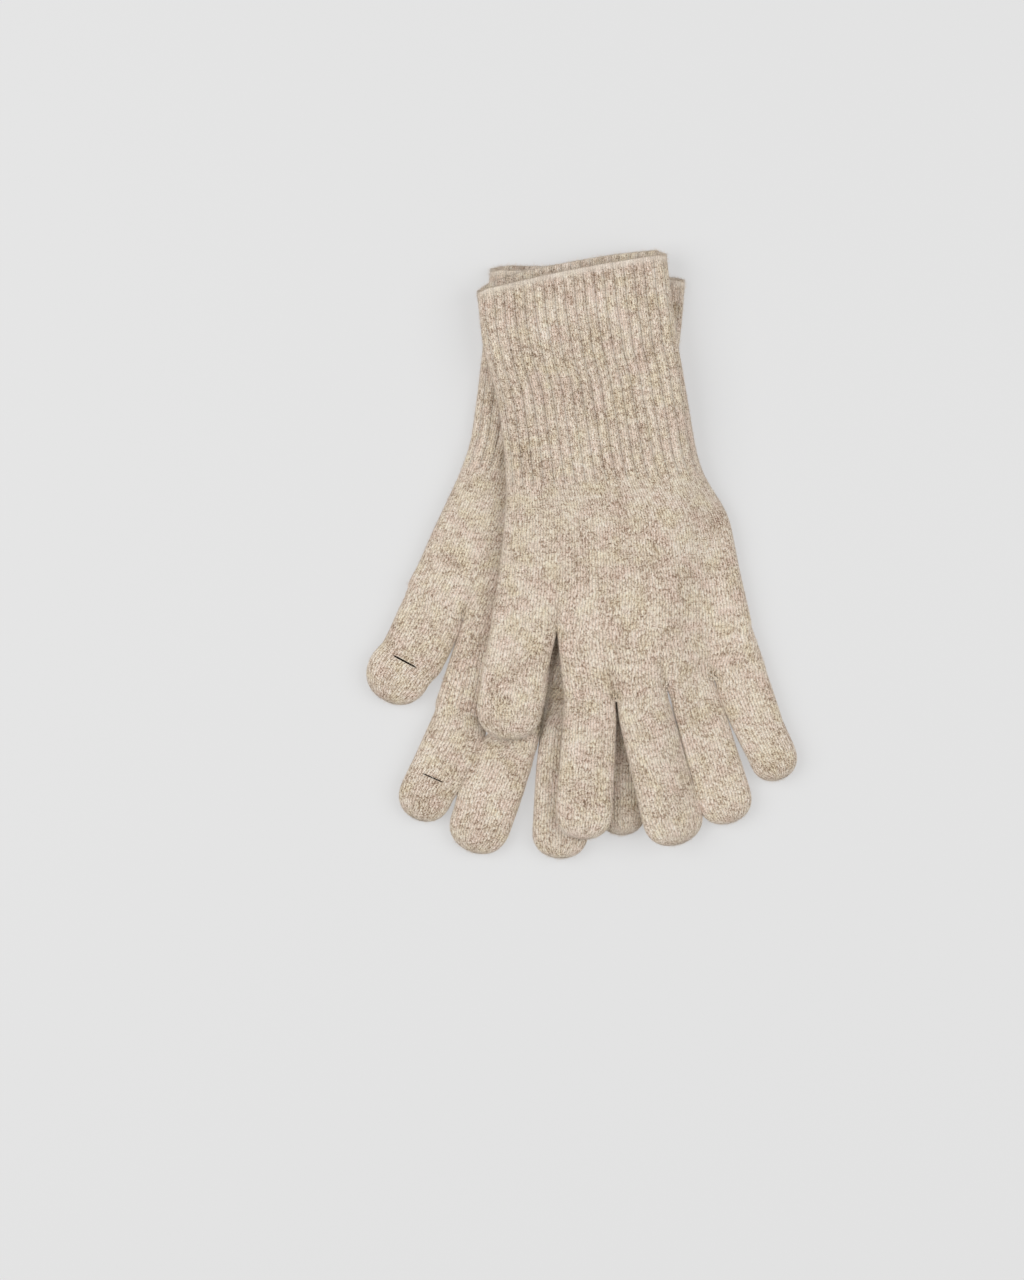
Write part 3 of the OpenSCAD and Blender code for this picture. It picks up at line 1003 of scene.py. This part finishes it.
def yarn(centres, radius):
    """A length of yarn through some points, thinner at both ends."""
    sides, steps = 7, len(centres)
    way = unit(centres[-1] - centres[0])
    side = unit(np.cross(way, Z))
    turns = np.linspace(0, 2 * math.pi, sides, endpoint=False)
    verts, faces = [], []
    for k, centre in enumerate(centres):
        thin = radius * (0.55 + 0.45 * math.sin(math.pi * k / (steps - 1)) ** 0.5)
        for turn in turns:
            verts.append(centre + side * thin * math.cos(turn) + Z * thin * math.sin(turn))
    for k in range(steps - 1):
        for i in range(sides):
            j = (i + 1) % sides
            faces.append((k * sides + i, k * sides + j, (k + 1) * sides + j, (k + 1) * sides + i))
    return verts, faces


def crotch_stitches(glove):
    """Yarn that closes each crotch, as small crossing stitches that lie on the cloth."""
    spots = [(glove.crotch, unit(glove.stalls["thumb"].ahead + glove.stalls["index"].ahead))]
    for a, b in zip(FINGERS, FINGERS[1:]):
        one, two = glove.stalls[a], glove.stalls[b]
        spots.append(((one.ends()[1] + two.ends()[0]) / 2, unit(one.ahead + two.ahead)))
    verts, faces = [], []
    for spot, ahead in spots:
        across = np.array([-ahead[1], ahead[0]])
        base = under(spot[:1], spot[1:], glove.left)[0] + GLOVE_T / 2
        for turn, back in STITCHES:
            way = across * math.cos(turn) + ahead * math.sin(turn)
            centres = []
            for t in np.linspace(-STITCH, STITCH, 9):
                near = abs(t * math.cos(turn))
                full = max(side_profile(near), PINCH * 2 / GLOVE_T)
                place = spot - ahead * back * MM + way * t
                centres.append(np.append(place, base + full * GLOVE_T / 2 + YARN_UP))
            v, f = yarn(centres, YARN)
            faces += [tuple(i + len(verts) for i in q) for q in f]
            verts += v
    mesh = bpy.data.meshes.new(glove.side + "_crotch_yarn")
    mesh.from_pydata([tuple(v) for v in verts], [], faces)
    mesh.materials.append(STOCKING)
    mesh.polygons.foreach_set("use_smooth", np.ones(len(faces), bool))
    store_points(mesh, np.array(verts) / MM)
    made = bpy.data.objects.new(mesh.name, mesh)
    bpy.context.scene.collection.objects.link(made)
    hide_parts(glove.side + "_crotch_stitches")
    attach(made, glove.side + "_glove")


for hand_side in ("right", "left"):
    crotch_stitches(build_glove(hand_side))

stage_and_camera()
